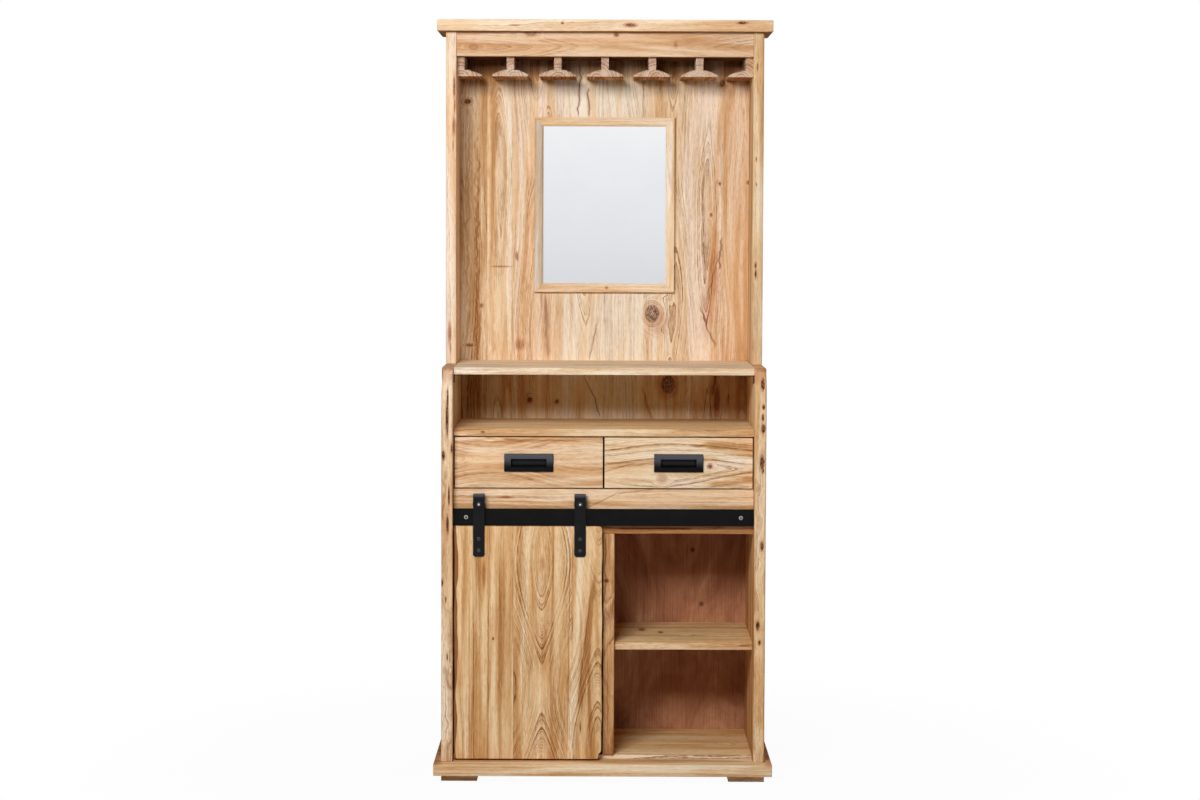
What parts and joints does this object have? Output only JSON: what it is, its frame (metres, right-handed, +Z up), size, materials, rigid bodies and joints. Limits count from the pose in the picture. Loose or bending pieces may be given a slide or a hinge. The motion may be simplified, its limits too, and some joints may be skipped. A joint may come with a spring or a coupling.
{
  "type": "wine cabinet",
  "caption": "Tall solid-wood wine cabinet: stemware rack and framed mirror in the hutch, open niche, drawers, and a sliding door on a steel rail over shelved compartments.",
  "frame": {"origin": "on the floor under the middle of the cabinet", "axes": "+Z up, front towards -Y, +X to the right as seen from the front"},
  "size_m": [0.802, 0.4, 1.8],
  "materials": {
    "acacia_board": "clear satin lacquer on solid acacia",
    "acacia_planks": "clear satin lacquer on edge-glued acacia planks",
    "acacia_door": "clear satin lacquer on edge-glued acacia planks",
    "plywood": "reddish veneer, matt",
    "hardboard": "matt",
    "mirror_glass": "silvered glass",
    "black_steel": "fine matt powder coat",
    "black_cast": "satin powder coat",
    "dark_fastener": "blackened steel",
    "roller_steel": "blackened steel",
    "slide_steel": "zinc plated"
  },
  "bodies": {
    "cabinet": {"back_planks": "acacia_planks", "base_side_left": "acacia_board", "base_side_right": "acacia_board", "block_feet": "acacia_board", "cabinet_slides": "slide_steel", "center_divider": "acacia_board", "counter_board": "acacia_board", "counter_brackets": "black_steel", "cross_rail": "acacia_board", "door_track": "black_steel", "drawer_deck": "acacia_board", "drawer_partition": "acacia_board", "fascia_rail": "acacia_board", "floor_board": "acacia_board", "glass_rail_1": "acacia_board", "glass_rail_2": "acacia_board", "glass_rail_3": "acacia_board", "glass_rail_4": "acacia_board", "glass_rail_5": "acacia_board", "glass_rail_6": "acacia_board", "glass_rail_7": "acacia_board", "hutch_side_left": "acacia_board", "hutch_side_right": "acacia_board", "mirror_backing": "hardboard", "mirror_frame_bottom": "acacia_board", "mirror_frame_left": "acacia_board", "mirror_frame_right": "acacia_board", "mirror_frame_top": "acacia_board", "mirror_glass": "mirror_glass", "niche_board": "acacia_board", "plinth_board": "acacia_board", "plywood_back": "plywood", "rack_ceiling": "acacia_board", "shelf_left": "acacia_board", "shelf_right": "acacia_board", "top_board": "acacia_board", "track_screws": "dark_fastener", "track_spacers": "black_steel"},
    "door": {"door_panel": "acacia_door", "hanger_screws": "dark_fastener", "hanger_strap_left": "black_steel", "hanger_strap_right": "black_steel", "roller_axles": "dark_fastener"},
    "roller_left": {"roller_left": "roller_steel"},
    "roller_right": {"roller_right": "roller_steel"},
    "drawer_left": {"drawer_left_back": "acacia_board", "drawer_left_bottom": "plywood", "drawer_left_front": "acacia_board", "drawer_left_inner_side": "acacia_board", "drawer_left_outer_side": "acacia_board", "drawer_left_pull": "black_cast", "drawer_left_slides": "slide_steel"},
    "drawer_right": {"drawer_right_back": "acacia_board", "drawer_right_bottom": "plywood", "drawer_right_front": "acacia_board", "drawer_right_inner_side": "acacia_board", "drawer_right_outer_side": "acacia_board", "drawer_right_pull": "black_cast", "drawer_right_slides": "slide_steel"}
  },
  "joints": [
    {"name": "door_slide", "type": "slide", "parent": "cabinet", "child": "door", "axis": [1, 0, 0], "range_m": [0, 0.353]},
    {"name": "roller_left_spin", "type": "hinge", "parent": "door", "child": "roller_left", "pos_m": [-0.293, -0.1535, 0.6554], "axis": [0, 1, 0], "range_deg": [-5, 1845]},
    {"name": "roller_right_spin", "type": "hinge", "parent": "door", "child": "roller_right", "pos_m": [-0.055, -0.1535, 0.6554], "axis": [0, 1, 0], "range_deg": [-5, 1845]},
    {"name": "drawer_left_slide", "type": "slide", "parent": "cabinet", "child": "drawer_left", "axis": [0, -1, 0], "range_m": [0, 0.2]},
    {"name": "drawer_right_slide", "type": "slide", "parent": "cabinet", "child": "drawer_right", "axis": [0, -1, 0], "range_m": [0, 0.2]}
  ],
  "couplings": [
    {"joint": "roller_left_spin", "follows": "door_slide", "rad_per_m": 90.909},
    {"joint": "roller_right_spin", "follows": "door_slide", "rad_per_m": 90.909}
  ]
}
